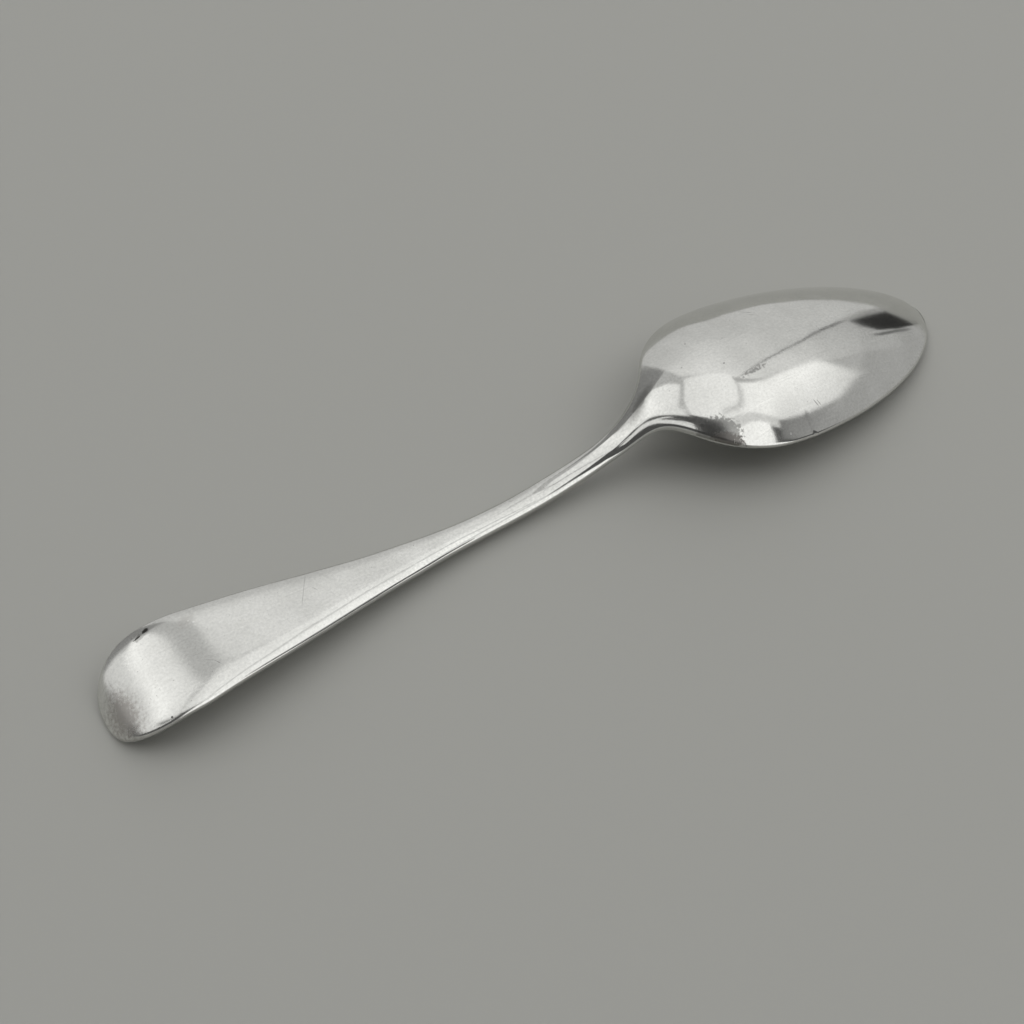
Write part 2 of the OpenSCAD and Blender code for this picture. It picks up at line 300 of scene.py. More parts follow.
@dataclass
class NodeSheet:
    """A node tree under construction, with short ways to add and join nodes."""

    tree: bpy.types.NodeTree

    def add(self, kind: str, inputs: dict | None = None, **settings: object) -> bpy.types.Node:
        """Adds a node, with values or sockets by the input's name or number, and its own settings."""
        node = self.tree.nodes.new(kind)
        for name, value in settings.items():
            setattr(node, name, value)
        for name, value in (inputs or {}).items():
            self.feed(node.inputs[name], value)
        return node

    def feed(self, socket: Socket, value: object) -> None:
        """Joins a socket to an input, or sets the input's own value."""
        if isinstance(value, Socket):
            self.tree.links.new(value, socket)
        else:
            socket.default_value = value

    def math(self, operation: str, *values: object) -> Socket:
        """Adds a Math node on up to three sockets or numbers, and gives its result."""
        return self.add("ShaderNodeMath", dict(enumerate(values)), operation=operation).outputs[0]

    def total(self, *values: object) -> Socket:
        """Adds up sockets and numbers."""
        return reduce(partial(self.math, "ADD"), values)

    def product(self, *values: object) -> Socket:
        """Multiplies sockets and numbers."""
        return reduce(partial(self.math, "MULTIPLY"), values)

    def weighted(self, start: float, *rows: tuple[Socket, float]) -> Socket:
        """Adds sockets times their weights to a first number."""
        return self.total(start, *(self.product(value, weight) for value, weight in rows))

    def step(self, value: Socket, low: float, high: float) -> Socket:
        """Rises smoothly from 0 where the value is low to 1 where it is high; low may be the larger."""
        falls = low > high
        inputs = {"Value": value, "From Min": min(low, high), "From Max": max(low, high)}
        inputs |= {"To Min": float(falls), "To Max": float(not falls)}
        return self.add("ShaderNodeMapRange", inputs, interpolation_type="SMOOTHSTEP").outputs[0]

    def noise(self, place: Socket, scale: float, detail: float = 2.0) -> Socket:
        """Adds a noise texture and gives its value."""
        inputs = {"Vector": place, "Scale": scale, "Detail": detail}
        return self.add("ShaderNodeTexNoise", inputs).outputs[0]

    def blend(self, share: object, start: object, end: object) -> Socket:
        """Mixes two colours, each a socket or four numbers; share is how much of the second shows."""
        node = self.add("ShaderNodeMix", data_type="RGBA")
        self.feed(node.inputs["Factor"], share)
        for name, value in (("A", start), ("B", end)):
            socket = [s for s in node.inputs if s.name == name and s.type == "RGBA"][0]
            self.feed(socket, value)
        return [s for s in node.outputs if s.type == "RGBA"][0]


@dataclass(frozen=True)
class SectionLoop:
    """The ring of points that every cross-section has, from the middle of the underside and round.

    Each point says how its place follows from the sizes of the station that it is swept to.
    """

    hollow_steps: int = 20
    rim_steps: int = 4
    corner_steps: int = 6
    wall_steps: int = 2
    half_back_steps: int = 32

    def half(self) -> Table:
        """Lists the points from the middle of the underside to the middle of the back.

        Returns:
            One row of shares a point: across (of the reach), hollow (of the hollow's half width),
            corner (of the rounding, sideways), turn (of the rounding, upwards), level (0 for the
            underside, 1 for the back) and vault (1 under the hollow's ceiling).
        """

        def turns(steps: int) -> list[float]:
            """Divides a quarter turn into steps, without its last place."""
            return [math.pi / 2 * i / steps for i in range(steps)]

        def shares(steps: int) -> list[float]:
            """Divides one into steps, without its last place."""
            return [i / steps for i in range(steps)]

        rows = [(0, math.sin(a), 0, 1, 0, 1) for a in turns(self.hollow_steps)]
        rows += [(q, 1 - q, 0, 1, 0, 0) for q in shares(self.rim_steps)]
        rows += [(1, 0, math.sin(a), math.cos(a), 0, 0) for a in turns(self.corner_steps)]
        rows += [(1, 0, 1, 0, q, 0) for q in shares(self.wall_steps)]
        rows += [(1, 0, math.cos(a), math.sin(a), 1, 0) for a in turns(self.corner_steps)]
        rows += [(math.cos(a), 0, 0, 1, 1, 0) for a in turns(self.half_back_steps)]
        rows += [(0, 0, 0, 1, 1, 0)]
        keys = ("across", "hollow", "corner", "turn", "level", "vault")
        return [dict(zip(keys, row)) for row in rows]

    def points(self) -> Table:
        """Lists the whole ring, whose last point lies on the first."""
        half = self.half()
        mirrored = [
            {**p, "across": -p["across"], "hollow": -p["hollow"], "corner": -p["corner"]}
            for p in reversed(half[:-1])
        ]
        return half + mirrored


def link(obj: bpy.types.Object) -> None:
    """Adds an object to the scene."""
    bpy.context.scene.collection.objects.link(obj)


def new_material(name: str) -> bpy.types.Material:
    """Makes a material with nodes."""
    material = bpy.data.materials.new(name)
    material.use_nodes = True
    return material


def attribute_cloud(name: str, points: Table) -> bpy.types.Object:
    """Makes an object of loose points that carry their named numbers as attributes."""
    mesh = bpy.data.meshes.new(name)
    mesh.from_pydata([(0.0, 0.0, 0.0)] * len(points), [], [])
    for key in points[0]:
        layer = mesh.attributes.new(key, "FLOAT", "POINT")
        layer.data.foreach_set("value", [float(p[key]) for p in points])
    return bpy.data.objects.new(name, mesh)


class SweepTree:
    """Geometry Nodes that sweep the section ring through a row of stations."""

    def __init__(self) -> None:
        """Builds the tree with its named inputs."""
        self.tree = bpy.data.node_groups.new("Section sweep", "GeometryNodeTree")
        self.inputs: dict[str, str] = {}
        sockets = self.tree.interface
        for name, kind in (
            ("Stations", "Geometry"),
            ("Section Ring", "Object"),
            ("Ring Points", "Int"),
            ("Edge Radius", "Float"),
            ("Weld Distance", "Float"),
            ("Finish", "Material"),
        ):
            socket = sockets.new_socket(name=name, in_out="INPUT", socket_type="NodeSocket" + kind)
            self.inputs[name] = socket.identifier
        sockets.new_socket(name="Length", in_out="OUTPUT", socket_type="NodeSocketGeometry")
        self.sheet = NodeSheet(self.tree)
        self.given = self.sheet.add("NodeGroupInput").outputs
        self.wire()

    def reader(self, geometry: Socket, index: Socket) -> Reader:
        """Makes a function that reads an attribute of the point at index, by its name."""

        def read(name: str) -> Socket:
            """Reads one attribute."""
            value = self.sheet.add("GeometryNodeInputNamedAttribute", {"Name": name}, data_type="FLOAT")
            inputs = {"Geometry": geometry, "Value": value.outputs["Attribute"], "Index": index}
            return self.sheet.add("GeometryNodeSampleIndex", inputs, data_type="FLOAT").outputs[0]

        return read

    def wire(self) -> None:
        """Joins the nodes: a grid of stations by ring points, put in place, welded and finished."""
        sheet, given = self.sheet, self.given
        ring = sheet.add("GeometryNodeObjectInfo", {"Object": given["Section Ring"]}).outputs["Geometry"]
        size = sheet.add("GeometryNodeAttributeDomainSize", {"Geometry": given["Stations"]})
        grid = sheet.add("GeometryNodeMeshGrid", {
            "Vertices X": size.outputs["Point Count"], "Vertices Y": given["Ring Points"],
        })
        index = sheet.add("GeometryNodeInputIndex").outputs[0]
        row = sheet.math("FLOOR", sheet.math("DIVIDE", index, given["Ring Points"]))
        column = sheet.math("SUBTRACT", index, sheet.product(row, given["Ring Points"]))
        station = self.reader(given["Stations"], row)
        point = self.reader(ring, column)
        place = self.place(station, point)
        shape = grid.outputs["Mesh"]
        for kind, settings in (
            ("GeometryNodeSetPosition", {"Position": place}),
            ("GeometryNodeMergeByDistance", {"Distance": given["Weld Distance"]}),
            ("GeometryNodeSetShadeSmooth", {}),
            ("GeometryNodeSetMaterial", {"Material": given["Finish"]}),
        ):
            shape = sheet.add(kind, {"Geometry": shape, **settings}).outputs[0]
        sheet.add("NodeGroupOutput", {0: shape})

    def place(self, station: Reader, point: Reader) -> Socket:
        """Works out where a ring point goes, from the station's sizes and the point's shares."""
        total, product = self.sheet.total, self.sheet.product
        minus, size = partial(self.sheet.math, "SUBTRACT"), partial(self.sheet.math, "ABSOLUTE")
        radius = product(self.given["Edge Radius"], station("rounded"))
        corner, turn = point("corner"), point("turn")
        inward = minus(1.0, size(corner))
        half = station("half_width")
        inset = product(station("inset"), radius)
        x = total(station("place"), product(inward, station("shift"), radius))
        y = total(
            product(point("across"), minus(half, inset)),
            product(point("hollow"), station("hollow_half")),
            product(corner, inset),
        )
        roundness, edge = station("roundness"), station("edge")
        out = self.sheet.math("MINIMUM", 1.0, self.sheet.math("DIVIDE", size(y), half))
        crown = minus(1.0, self.sheet.math("POWER", out, roundness))
        rounding = product(radius, minus(1.0, turn))
        under = total(station("underside"), product(inward, station("climb")))
        back = minus(total(under, edge, product(minus(station("ridge"), edge), crown)), rounding)
        arch = minus(1.0, self.sheet.math("POWER", size(point("hollow")), roundness))
        low = total(under, rounding, product(station("hollow_height"), arch, point("vault")))
        z = total(low, product(point("level"), minus(back, low)))
        opened, middle = station("opened"), station("middle")
        return self.sheet.add("ShaderNodeCombineXYZ", {
            "X": x,
            "Y": product(y, opened),
            "Z": total(middle, product(opened, minus(z, middle))),
        }).outputs[0]


@dataclass
class Length:
    """A length of the spoon between two cuts, swept from stations, with its sizes in millimetres.

    The edges' radius is edge_radius or edge_share of the wall, the smaller. Within tip_reach of a tip
    the rounding turns to lie along the spoon. The outline's slope is read over slope_step, or over
    slope_share of the way to the tip. Outside the hollow its ring points lie within shut.
    """

    name: str
    node: str
    edge_radius: float = 0.3
    edge_share: float = 0.44
    weld: float = 0.0001
    tip_reach: float = 3
    narrowest: float = 0.001
    slope_step: float = 0.01
    slope_share: float = 0.02
    shut: float = 0.02
    obj: bpy.types.Object | None = field(default=None, init=False)

    def places(self) -> np.ndarray:
        """Places of the stations along the spoon, in millimetres."""
        raise NotImplementedError

    def stations(self) -> Table:
        """Works out the sizes that the sweep needs, one row a station, with lengths in metres."""
        s = self.places()
        total = SHAPE.total_l
        half = SHAPE.half_width(s)
        from_tip = np.minimum(s, total - s)
        step = np.clip(from_tip * self.slope_share, TINY, self.slope_step)
        slope = (SHAPE.half_width(s + step) - SHAPE.half_width(s - step)) / (2 * step)
        slant = np.sqrt(1 + slope**2)
        turned = np.clip(1 - from_tip / self.tip_reach, 0, 1)
        turned = turned * turned * (3 - 2 * turned)
        shift = turned * slope / slant
        inset = turned / slant + (1 - turned) * slant
        at_tip = from_tip < TINY
        shift[at_tip] = np.where(s[at_tip] < total / 2, 1.0, -1.0)
        inset[at_tip] = 0.0
        edge = SHAPE.edge.at(s)
        radius = np.minimum(self.edge_radius, self.edge_share * edge)
        inside = (s > SHAPE.hollow_x) & (s < SHAPE.hollow_end)
        spare = np.clip(np.maximum(SHAPE.hollow_x - s, s - SHAPE.hollow_end), 0, 1)
        hollow_half = np.maximum(np.where(inside, SHAPE.hollow_half(s), 0.0), half / 2 * spare)
        under = SHAPE.underside.at(s)
        columns = {
            "place": (s - total / 2) * MM,
            "half_width": np.maximum(half, self.narrowest) * MM,
            "inset": inset,
            "shift": shift,
            "rounded": radius / self.edge_radius,
            "underside": under * MM,
            "climb": (SHAPE.underside.at(s + shift * radius) - under) * MM,
            "edge": edge * MM,
            "ridge": SHAPE.ridge_height(s) * MM,
            "roundness": SHAPE.roundness.at(s),
            "hollow_half": np.maximum(hollow_half, np.minimum(self.shut, half / 2)) * MM,
            "hollow_height": np.where(inside, SHAPE.hollow_height(s), 0.0) * MM,
            "opened": np.where(at_tip, 0.0, 1.0),
            "middle": np.zeros(len(s)),
        }
        return [dict(zip(columns, row)) for row in zip(*columns.values())]

    def build(self, sweep: SweepTree, ring: bpy.types.Object, finish: bpy.types.Material) -> None:
        """Sweeps the ring along the length, closed at its cuts, and keeps the result as a plain mesh."""
        rows = self.stations()
        for i in (0, -1):
            if rows[i]["opened"] > 0:
                cap = {**rows[i], "opened": 0.0, "middle": rows[i]["underside"] + rows[i]["edge"] / 2}
                rows.insert(0 if i == 0 else len(rows), cap)
            else:
                rows[i]["opened"] = 1.0
        source = attribute_cloud(self.name + "_stations", rows)
        link(source)
        modifier = source.modifiers.new("Sweep", "NODES")
        modifier.node_group = sweep.tree
        modifier[sweep.inputs["Section Ring"]] = ring
        modifier[sweep.inputs["Ring Points"]] = len(ring.data.vertices)
        modifier[sweep.inputs["Edge Radius"]] = self.edge_radius * MM
        modifier[sweep.inputs["Weld Distance"]] = self.weld * MM
        modifier[sweep.inputs["Finish"]] = finish
        depsgraph = bpy.context.evaluated_depsgraph_get()
        mesh = bpy.data.meshes.new_from_object(source.evaluated_get(depsgraph), depsgraph=depsgraph)
        bpy.data.objects.remove(source)
        mesh.name = self.name
        self.obj = bpy.data.objects.new(self.name, mesh)
        link(self.obj)

    def dress(self) -> None:
        """Hands the finished length to the frame in place of its CAD node."""
        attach(self.obj, BODY)
        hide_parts(self.node)
        LOG.info("%s: %d faces, replaces %s", self.name, len(self.obj.data.polygons), self.node)


@dataclass
class HandleEnd(Length):
    """The rounded end that turns down to the table."""

    steps: int = 90
    crowding: float = 3

    def places(self) -> np.ndarray:
        """Places that crowd towards the tip, where the outline turns fastest."""
        return SHAPE.end_l * np.linspace(0, 1, self.steps + 1) ** self.crowding


@dataclass
class EvenLength(Length):
    """The handle, the stem or the neck, with its stations evenly spaced from cut to cut."""

    start: float = 0
    end: float = 0
    steps: int = 50

    def places(self) -> np.ndarray:
        """Places from the first cut to the second."""
        return np.linspace(self.start, self.end, self.steps + 1)


@dataclass
class Bowl(Length):
    """The bowl with its shoulders, rim and hollow."""

    shoulder_steps: int = 70
    tip_steps: int = 130
    crowding: float = 2.5
    hollow_steps: Pair = (0.02, 0.1)

    def places(self) -> np.ndarray:
        """Places that are even along the shoulders and crowd towards the tip."""
        shoulder = np.linspace(SHAPE.bowl_x, SHAPE.wide_x, self.shoulder_steps + 1)
        left = np.linspace(1, 0, self.tip_steps + 1)[1:] ** self.crowding
        tip = SHAPE.total_l - (SHAPE.total_l - SHAPE.wide_x) * left
        first, second = self.hollow_steps
        start, end = SHAPE.hollow_x, SHAPE.hollow_end
        own = [start, start + first, start + second, end - first, end]
        return np.unique(np.concatenate([shoulder, tip, own]))


def read_column(items: bpy.types.bpy_prop_collection, key: str, kind: type, width: int = 1) -> np.ndarray:
    """Reads one property of all items, with a row of numbers an item if it has more than one."""
    values = np.empty((len(items), width), kind)
    items.foreach_get(key, values.reshape(-1))
    return values if width > 1 else values[:, 0]


def share_normals(
    lengths: list[Length], cut_slant: float = 0.9999, grid: float = 0.0002 * MM, least: float = 1e-20,
) -> None:
    """Gives the lengths the shading of one smooth spoon, with no seam where they meet.

    A face whose normal lies along the spoon by more than cut_slant is part of a cut and stays flat.
    Corners within the distance grid are taken as one, and no normal is divided by less than least.
    """
    corners, weights, owners, flat = [], [], [], []
    for k, length in enumerate(lengths):
        mesh = length.obj.data
        normals = read_column(mesh.polygons, "normal", np.float32, 3)
        areas = read_column(mesh.polygons, "area", np.float32)
        sides = read_column(mesh.polygons, "loop_total", np.int32)
        vertex = read_column(mesh.loops, "vertex_index", np.int32)
        face = np.repeat(np.arange(len(sides)), sides)
        cut = np.abs(normals[:, 0]) > cut_slant
        places = read_column(mesh.vertices, "co", np.float32, 3)
        corners.append(np.round(places[vertex] / grid).astype(np.int64))
        weights.append((normals * areas[:, None])[face] * ~cut[face][:, None])
        owners.append(np.full(len(vertex), k))
        flat.append(np.where(cut[face][:, None], normals[face], 0))
    _, group = np.unique(np.concatenate(corners), axis=0, return_inverse=True)
    group = group.reshape(-1)
    sums = np.zeros((group.max() + 1, 3))
    np.add.at(sums, group, np.concatenate(weights))
    own = np.concatenate(flat)
    shared = np.where(np.abs(own).sum(1, keepdims=True) > 0, own, sums[group])
    shared /= np.maximum(np.linalg.norm(shared, axis=1, keepdims=True), least)
    owner = np.concatenate(owners)
    for k, length in enumerate(lengths):
        length.obj.data.normals_split_custom_set(shared[owner == k].tolist())


class MarkKind(Enum):
    """The tint of a mark on the silver."""

    DARK = "dark"
    BROWN = "brown"
    DULL = "dull"
    BRIGHT = "bright"


@dataclass(frozen=True)
class SurfaceMark:
    """A nick, stain, speck, scratch or painted reflection on the back: a ragged oval at a place on the
    spoon.

    Lengths are in millimetres, from the middle of the spoon.
    """

    kind: MarkKind
    x: float
    y: float
    long: float
    wide: float
    turn: float = 0.0
    strength: float = 1.0
    ragged: float = 0.3
    soft: float = 0.25

    def mask(self, sheet: NodeSheet, place: Socket, rag: Socket) -> Socket:
        """Gives how much of the mark shows; rag is noise around zero that makes its outline ragged."""
        own = sheet.add("ShaderNodeMapping", {
            "Vector": place,
            "Location": (self.x * MM, self.y * MM, 0.0),
            "Rotation": (0.0, 0.0, math.radians(self.turn)),
            "Scale": (self.long * MM, self.wide * MM, 1.0),
        }, vector_type="TEXTURE").outputs[0]
        out = sheet.add("ShaderNodeVectorMath", {0: own}, operation="LENGTH").outputs["Value"]
        ragged = sheet.math("MULTIPLY_ADD", rag, self.ragged, out)
        return sheet.product(sheet.step(ragged, 1 + self.soft, 1 - self.soft), self.strength)


@dataclass(frozen=True)
class WornSilver:
    """Old table silver: a soft shine with fine scratches, pits, stains and cloudy wear, plus painted shade
    on the upright side walls and a painted dark reflection on the bowl.

    The scales are those of noise over metres. A contrast is how much a texture changes the colour.
    The end of the handle is worn from the first to the second place of worn_end, in metres, and a face gets
    painted shade, standing for the shadowed floor that it reflects, as it turns upright, from the first to
    the second slope of upright_face.
    """

    name: str = "worn silver"
    colour: Triple = (0.81, 0.81, 0.785)
    cloudy: Triple = (0.75, 0.75, 0.725)
    dark: Triple = (0.035, 0.033, 0.03)
    brown: Triple = (0.27, 0.235, 0.215)
    dull: Triple = (0.3, 0.3, 0.285)
    bright: Triple = (0.97, 0.97, 0.95)
    roughness: float = 0.065
    cloud_scale: float = 170.0
    grain_scale: float = 2900.0
    rag_scale: float = 2300.0
    base_tone: float = 0.955
    grain_contrast: float = 0.34
    scratch_contrast: float = 0.045
    pit_contrast: float = 0.45
    painted_wall_shade: float = 0.35
    worn_end: Pair = (-0.05, -0.062)
    upright_face: Pair = (0.5, 0.2)
    bump_strength: float = 0.5
    bump_height: float = 0.000006

    def marks(self) -> list[SurfaceMark]:
        """Lists the single marks on the back; the dark and brown patches on the bowl's near shoulder are a
        painted reflection.
        """
        dark, brown, dull, bright = MarkKind
        rows = [
            (dark, -58.0, 6.2, 0.5, 0.3, 20, 0.95, 0.5),
            (dark, -59.35, 5.75, 0.5, 0.14, 10, 0.85, 0.8),
            (dull, -58.8, 5.7, 1.0, 0.4, 16, 0.6, 1.0),
            (dull, 15.7, 1.3, 2.4, 0.8, 28, 0.75, 0.3, 0.7),
            (dull, 14.2, 2.4, 4.0, 1.2, 34, 0.3, 0.3, 0.8),
            (dark, -60.3, -6.76, 0.15, 0.15, 0, 0.8, 0.3),
            (brown, -65.1, -1.9, 1.7, 3.4, 4, 0.55, 1.1, 0.6),
            (brown, -53.1, 4.5, 1.1, 0.8, 20, 0.22, 0.8, 0.7),
            (bright, -52.2, 4.0, 0.16, 0.13, 0, 0.8),
            (bright, -52.7, 4.5, 0.12, 0.1, 0, 0.6),
            (dark, -52.9, -2.27, 0.62, 0.05, -31, 0.45),
            (dark, -52.1, -3.05, 0.55, 0.05, -60, 0.45),
            (dark, -37.6, 1.7, 2.5, 0.05, 58, 0.28),
            (dark, -36.2, 1.2, 0.5, 0.04, 120, 0.3),
            (dark, 38.0, 6.7, 1.15, 0.06, -43, 0.5, 0.6),
            (dark, 38.2, 5.7, 0.9, 0.045, -41, 0.4, 0.6),
            (dark, 26.11, 5.48, 0.1, 0.1, 0, 0.75),
            (dark, 31.02, 3.37, 0.1, 0.08, 0, 0.7),
            (dark, 28.23, -0.78, 0.15, 0.1, 30, 0.75),
            (dark, 22.9, 1.9, 0.1, 0.1, 0, 0.5),
            (dark, 31.4, -3.8, 1.7, 0.28, 4, 0.5, 2.4, 0.5),
            (bright, 21.79, -0.22, 0.13, 0.1, 0, 0.7),
            (bright, 22.3, -0.9, 0.1, 0.1, 0, 0.6),
            (dark, 37.25, -10.95, 0.5, 0.06, -69, 0.55),
            (dark, 37.75, -11.05, 0.42, 0.06, -69, 0.5),
            (bright, 31.29, -13.05, 0.17, 0.15, 0, 1.0),
            # Painted reflection: this dark patch and the brown one below it stand for a dark object in the
            # room, reflected on the bowl's near shoulder, with a brownish lower edge.
            (dark, 21.7, -8.9, 3.3, 2.1, -28, 0.5, 0.7, 0.12),
            (brown, 22.6, -10.0, 2.2, 0.8, -36, 0.6, 1.0),
            (dark, 24.4, -11.3, 1.3, 0.06, -72, 0.6, 0.8),
        ]
        return [SurfaceMark(*row) for row in rows]

    def pits(self, sheet: NodeSheet, place: Socket, crowded: Socket) -> Socket:
        """Scatters small pits and gives how much of one shows; crowded is the share of cells with one."""
        found = 0.0
        for scale, reach in ((1500.0, 0.14), (2700.0, 0.17)):
            cell = sheet.add("ShaderNodeTexVoronoi", {"Vector": place, "Scale": scale})
            chance = sheet.add("ShaderNodeSeparateColor", {0: cell.outputs["Color"]}).outputs[0]
            here = sheet.math("LESS_THAN", chance, crowded)
            spot = sheet.step(cell.outputs["Distance"], reach, reach * 0.4)
            found = sheet.math("MAXIMUM", found, sheet.product(spot, here))
        return found

    def scratches(self, sheet: NodeSheet, place: Socket) -> Socket:
        """Draws fine scratches in three directions: dark lines below zero, light ones above."""
        total = 0.0
        rows = ((24, 90, 3600, 0.0), (-38, 130, 4200, 3.0), (78, 160, 3900, 7.0))
        for turn, length, thin, offset in rows:
            own = sheet.add("ShaderNodeMapping", {
                "Vector": place, "Location": (offset, offset, 0.0),
                "Rotation": (0.0, 0.0, math.radians(turn)), "Scale": (length, thin, 500.0),
            }).outputs[0]
            line = sheet.noise(own, 1.0, 1.0)
            light = sheet.step(line, 0.66, 0.78)
            total = sheet.total(total, light, sheet.product(sheet.step(line, 0.33, 0.22), -1.0))
        return total

    def build(self) -> bpy.types.Material:
        """Makes the material, on Object coordinates."""
        dark, brown, dull, bright = MarkKind
        material = new_material(self.name)
        sheet = NodeSheet(material.node_tree)
        shader = material.node_tree.nodes["Principled BSDF"]
        shader.inputs["Metallic"].default_value = 1.0
        place = sheet.add("ShaderNodeTexCoord").outputs["Object"]
        along = sheet.add("ShaderNodeSeparateXYZ", {0: place}).outputs["X"]
        normal = sheet.add("ShaderNodeNewGeometry").outputs["Normal"]
        rise = sheet.add("ShaderNodeSeparateXYZ", {0: normal}).outputs["Z"]
        upward = sheet.math("GREATER_THAN", rise, 0.0)
        cloud = sheet.noise(place, self.cloud_scale, 4.0)
        grain = sheet.noise(place, self.grain_scale, 3.0)
        rag = sheet.product(sheet.math("SUBTRACT", sheet.noise(place, self.rag_scale, 4.0), 0.5), 2.0)
        masks = {kind: 0.0 for kind in MarkKind}
        for mark in self.marks():
            masks[mark.kind] = sheet.math("MAXIMUM", masks[mark.kind], mark.mask(sheet, place, rag))
        masks = {kind: sheet.product(mask, upward) for kind, mask in masks.items()}
        near_end = sheet.step(along, *self.worn_end)
        # Painted shade: upright side walls are darkened towards the dull tint, standing for the shadowed
        # floor that they reflect.
        steep = sheet.step(sheet.math("ABSOLUTE", rise), *self.upright_face)
        crowded = sheet.weighted(0.03, (near_end, 0.16), (sheet.step(cloud, 0.5, 0.7), 0.05))
        pit = self.pits(sheet, place, crowded)
        scratch = self.scratches(sheet, place)
        colour = sheet.blend(sheet.step(cloud, 0.35, 0.65), (*self.cloudy, 1), (*self.colour, 1))
        centred = sheet.math("SUBTRACT", grain, 0.5)
        tone = sheet.weighted(
            self.base_tone, (centred, self.grain_contrast), (scratch, self.scratch_contrast),
        )
        colour = sheet.add("ShaderNodeVectorMath", {0: colour, "Scale": tone}, operation="SCALE").outputs[0]
        for share, tint in (
            (sheet.product(pit, self.pit_contrast), self.dark),
            # painted shade on the upright side walls
            (sheet.product(steep, self.painted_wall_shade), self.dull),
            (masks[dull], self.dull),
            (masks[brown], self.brown),
            (masks[dark], self.dark),
            (masks[bright], self.bright),
        ):
            colour = sheet.blend(share, colour, (*tint, 1))
        sheet.feed(shader.inputs["Base Color"], colour)
        sheet.feed(shader.inputs["Roughness"], sheet.weighted(
            self.roughness, (grain, 0.05), (sheet.step(cloud, 0.6, 0.35), 0.02),
            (masks[brown], 0.2), (masks[dark], 0.2), (near_end, 0.09),
        ))
        height = sheet.weighted(
            0.0, (grain, 0.5), (pit, -0.6), (scratch, 0.12), (masks[dark], -0.8), (masks[bright], 0.8),
        )
        sheet.feed(shader.inputs["Normal"], sheet.add("ShaderNodeBump", {
            "Height": height, "Strength": self.bump_strength, "Distance": self.bump_height,
        }).outputs[0])
        return material


@dataclass(frozen=True)
class CardPlace:
    """A corner of a light card as a direction from the spoon.

    over runs from the far horizon over the zenith, and side is towards the right, in degrees.
    """

    over: float
    side: float

    def direction(self, far: Vector, right: Vector) -> Vector:
        """Turns the angles into a unit vector, from the level directions away from the camera and right."""
        a, b = math.radians(self.over), math.radians(self.side)
        level = far * math.cos(a) + Vector((0, 0, 1)) * math.sin(a)
        return level * math.cos(b) + right * math.sin(b)


class Fade(Enum):
    """The way in which a card's glow changes over its face."""

    UP = "up"
    SIDE = "side"


@dataclass(frozen=True)
class LightCard:
    """A soft panel or a dark card of the studio, whose glow may fade over its face."""

    name: str
    fade: Fade
    glow: tuple[Pair, ...]
    corners: tuple[CardPlace, ...]
    feather: float = 0.04
    lights_floor: bool = True
    distance: float = field(kw_only=True)
    steps: int = 12
    blue_share: float = 0.985

    def sheet_mesh(self, far: Vector, right: Vector) -> bpy.types.Mesh:
        """Makes the card's mesh, a fan of small triangles that is everywhere equally far from the spoon."""
        corners = [c.direction(far, right) for c in self.corners]
        middle = sum(corners, Vector()).normalized()
        points, faces, inside = [], [], []
        for i, a in enumerate(corners):
            b = corners[(i + 1) % len(corners)]
            rows = [[] for _ in range(self.steps + 1)]
            for r in range(self.steps + 1):
                for c in range(r + 1):
                    out, along = r / self.steps, c / self.steps
                    point = middle * (1 - out) + a * (out - along) + b * along
                    rows[r].append(len(points))
                    points.append(tuple(point.normalized() * self.distance))
                    inside.append(1 - out)
            for r in range(self.steps):
                for c in range(r + 1):
                    faces.append((rows[r][c], rows[r + 1][c], rows[r + 1][c + 1]))
                    if c < r:
                        faces.append((rows[r][c], rows[r + 1][c + 1], rows[r][c + 1]))
        mesh = bpy.data.meshes.new(self.name)
        mesh.from_pydata(points, [], faces)
        mesh.attributes.new("inside", "FLOAT", "POINT").data.foreach_set("value", inside)
        return mesh

    def build(self, far: Vector, right: Vector) -> None:
        """Hangs the card in the studio, where the camera itself doesn't see it."""
        mesh = self.sheet_mesh(far, right)
        material = new_material(self.name)
        tree = material.node_tree
        tree.nodes.clear()
        sheet = NodeSheet(tree)
        axis = (0, 0, 1) if self.fade is Fade.UP else tuple(right)
        place = sheet.add("ShaderNodeTexCoord").outputs["Object"]
        unit = sheet.add("ShaderNodeVectorMath", {0: place}, operation="NORMALIZE").outputs[0]
        sine = sheet.add("ShaderNodeVectorMath", {0: unit, 1: axis}, operation="DOT_PRODUCT")
        where = sheet.math("MULTIPLY_ADD", sine.outputs["Value"], 0.5, 0.5)
        ramp = sheet.add("ShaderNodeValToRGB", {"Fac": where})
        brightest = max(tone for _, tone in self.glow)
        elements = ramp.color_ramp.elements
        while len(elements) > 1:
            elements.remove(elements[-1])
        for i, (angle, tone) in enumerate(self.glow):
            where = 0.5 + 0.5 * math.sin(math.radians(angle))
            element = elements[0] if i == 0 else elements.new(where)
            element.position = where
            share = tone / brightest
            element.color = (share, share, share * self.blue_share, 1)
        glow = sheet.add("ShaderNodeEmission", {"Strength": brightest, "Color": ramp.outputs[0]})
        inside = sheet.add("ShaderNodeAttribute", attribute_name="inside").outputs["Fac"]
        clear = sheet.add("ShaderNodeBsdfTransparent").outputs[0]
        mixed = sheet.add("ShaderNodeMixShader", {
            "Fac": sheet.step(inside, 0.0, self.feather), 1: clear, 2: glow.outputs[0],
        })
        sheet.add("ShaderNodeOutputMaterial", {"Surface": mixed.outputs[0]})
        mesh.materials.append(material)
        card = bpy.data.objects.new(self.name, mesh)
        card.visible_camera = False
        card.visible_diffuse = self.lights_floor
        link(card)


def upright(azimuth: float, elevation: float) -> CardPlace:
    """Gives a card's corner from an azimuth to the right of far and a height over the horizon."""
    a, e = math.radians(azimuth), math.radians(elevation)
    side = math.asin(math.cos(e) * math.sin(a))
    over = math.atan2(math.sin(e), math.cos(e) * math.cos(a))
    return CardPlace(math.degrees(over), math.degrees(side))


